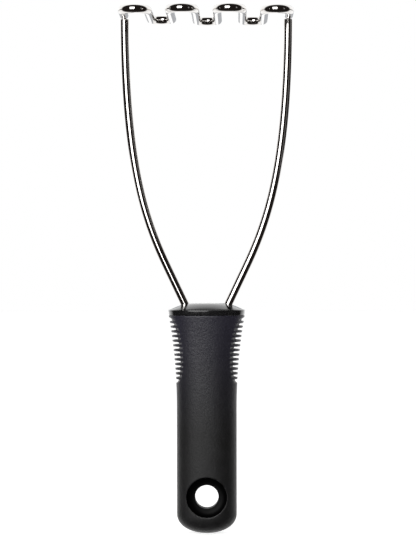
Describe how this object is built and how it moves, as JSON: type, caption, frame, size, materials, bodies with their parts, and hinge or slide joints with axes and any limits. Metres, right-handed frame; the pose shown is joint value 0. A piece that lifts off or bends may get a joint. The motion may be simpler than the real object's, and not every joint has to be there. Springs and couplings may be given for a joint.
{
  "type": "potato masher",
  "caption": "Potato masher with a flat serpentine wire head on bowed rod arms, a glossy collar and a soft ribbed grip with a hang hole in its butt.",
  "frame": {"origin": "on the grip's axis at the lowest point of the butt, below the centre of the whole masher", "axes": "+Z from the grip's butt up to the wire head, +X to the right seen from the front, the front faces -Y"},
  "size_m": [0.0892, 0.0828, 0.2688],
  "materials": {
    "polished_steel": "bright polished stainless steel",
    "gloss_black": "high gloss moulded black",
    "core_plastic": "plain moulded black",
    "soft_rubber": "soft matte black"
  },
  "bodies": {
    "root": {"masher_wire": "polished_steel", "left_arm": "polished_steel", "right_arm": "polished_steel", "collar_cap": "gloss_black", "handle_core": "core_plastic", "soft_grip": "soft_rubber"}
  },
  "joints": []
}
